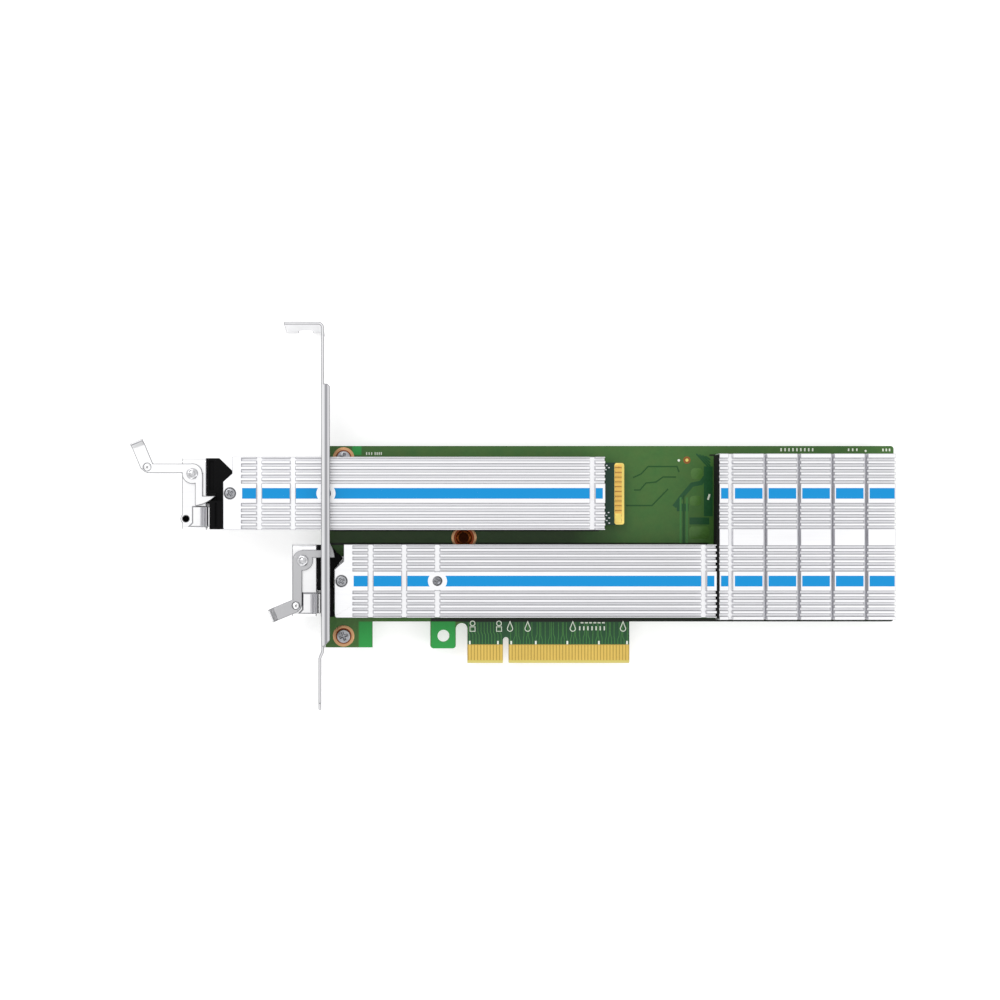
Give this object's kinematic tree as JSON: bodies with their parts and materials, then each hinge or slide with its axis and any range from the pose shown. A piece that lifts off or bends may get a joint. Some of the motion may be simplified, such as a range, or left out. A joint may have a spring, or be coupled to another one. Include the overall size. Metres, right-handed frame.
{
  "type": "nvme adapter card",
  "caption": "Server expansion card with a full-height bracket, edge connector, finned covers and slide-in module sleds with latch levers.",
  "frame": {"origin": "centre line of the edge connector's key notch, at the lower edge of the board, in the face of the component side", "axes": "+X along the card away from the bracket, +Y from the edge connector up to the top edge, +Z out of the component side"},
  "size_m": [0.2412, 0.12, 0.0216],
  "materials": {
    "solder_mask": "green solder mask over glass laminate",
    "module_mask": "dark blue-green solder mask",
    "gold": "hard gold plating",
    "bracket_steel": "bright nickel plated sheet",
    "sled_steel": "bright plated sheet",
    "spring_steel": "grey spring sheet",
    "aluminium": "bright extruded aluminium, blue stripe",
    "screw_steel": "plated steel screw",
    "brass_plain": "turned brass",
    "black_plastic": "black moulded plastic",
    "black_rubber": "black foam rubber",
    "chip_resin": "moulded chip package",
    "pad_grey": "grey thermal pad",
    "ceramic_tan": "ceramic chip capacitor"
  },
  "bodies": {
    "card": {"circuit_board": "solder_mask", "edge_fingers": "gold", "bracket": "bracket_steel", "bracket_screws": "screw_steel", "upper_guide": "black_plastic", "lower_guide": "black_plastic", "upper_socket": "black_plastic", "lower_socket": "black_plastic", "fixed_heatsink": "aluminium", "block_screws": "screw_steel", "bumper_strip": "black_rubber", "switch_chip": "chip_resin", "switch_pad": "pad_grey", "regulators": "chip_resin", "capacitors": "ceramic_tan"},
    "upper_sled": {"upper_tray": "sled_steel", "upper_standoffs": "brass_plain", "upper_bezel": "black_plastic", "upper_contact_spring": "spring_steel", "upper_heatsink": "aluminium", "upper_cover_screws": "screw_steel", "upper_module_board": "module_mask", "upper_module_fingers": "gold", "upper_module_chips": "chip_resin", "upper_thermal_pad": "pad_grey", "upper_module_screw": "screw_steel", "upper_lever_pivot": "screw_steel"},
    "upper_lever": {"upper_lever": "sled_steel"},
    "lower_sled": {"lower_tray": "sled_steel", "lower_standoffs": "brass_plain", "lower_bezel": "black_plastic", "lower_contact_spring": "spring_steel", "lower_heatsink": "aluminium", "lower_cover_screws": "screw_steel", "lower_module_board": "module_mask", "lower_module_fingers": "gold", "lower_module_chips": "chip_resin", "lower_thermal_pad": "pad_grey", "lower_module_screw": "screw_steel", "lower_lever_pivot": "screw_steel"},
    "lower_lever": {"lower_lever": "sled_steel"}
  },
  "joints": [
    {"name": "upper_sled_slide", "type": "slide", "parent": "card", "child": "upper_sled", "axis": [1, 0, 0], "range_m": [-0.09, 0.0345]},
    {"name": "upper_lever_hinge", "type": "hinge", "parent": "upper_sled", "child": "upper_lever", "pos_m": [-0.0988, 0.05989, 0.00685], "axis": [0, 0, 1], "range_deg": [0, 90]},
    {"name": "lower_sled_slide", "type": "slide", "parent": "card", "child": "lower_sled", "axis": [1, 0, 0], "range_m": [-0.00417, 0]},
    {"name": "lower_lever_hinge", "type": "hinge", "parent": "lower_sled", "child": "lower_lever", "pos_m": [-0.0643, 0.03275, 0.00685], "axis": [0, 0, 1], "range_deg": [-83.5, 0]}
  ],
  "couplings": [
    {"joint": "lower_lever_hinge", "follows": "lower_sled_slide", "rad_per_m": 349}
  ]
}
